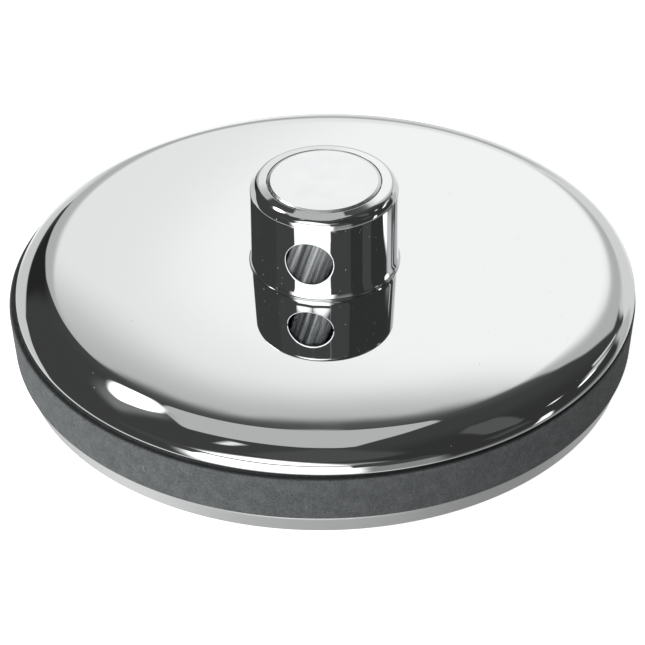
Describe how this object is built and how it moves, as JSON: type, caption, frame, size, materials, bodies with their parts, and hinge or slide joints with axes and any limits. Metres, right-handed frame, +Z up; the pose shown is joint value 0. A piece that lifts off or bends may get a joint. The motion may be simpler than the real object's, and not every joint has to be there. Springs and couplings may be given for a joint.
{
  "type": "drain stopper",
  "caption": "Domed round sink drain stopper with a turning finger knob, cross hole, rubber sealing ring and bottom plate.",
  "frame": {"origin": "on the knob's axis, at the level of the surface that the stopper stands on", "axes": "+Z up along the knob's axis, away from the drain; the cross hole runs along Y"},
  "size_m": [0.086, 0.086, 0.0272],
  "materials": {
    "chrome": "polished",
    "satin_chrome": "satin",
    "satin_steel": "satin",
    "spring_steel": "plain",
    "brass": "turned",
    "nylon": "matte",
    "rubber": "matte"
  },
  "bodies": {
    "plate_body": {"bottom_plate": "satin_steel", "captive_nut": "brass", "seal_washer": "rubber", "seal_ring": "rubber"},
    "cover_body": {"cover": "chrome", "cover_hub": "brass"},
    "knob_body": {"knob": "chrome", "knob_inlay": "satin_chrome", "thrust_washer": "nylon", "shank_o_ring": "rubber", "cover_clip": "spring_steel", "stop_clip": "spring_steel"}
  },
  "joints": [
    {"name": "clamp_lift", "type": "slide", "parent": "plate_body", "child": "cover_body", "axis": [0, 0, 1], "range_m": [0, 0.003]},
    {"name": "knob_turn", "type": "hinge", "parent": "cover_body", "child": "knob_body", "pos_m": [0, 0, 0.02], "axis": [0, 0, 1], "range_deg": [0, 1080]}
  ],
  "couplings": [
    {"joint": "knob_turn", "follows": "clamp_lift", "rad_per_m": 6283.2}
  ]
}
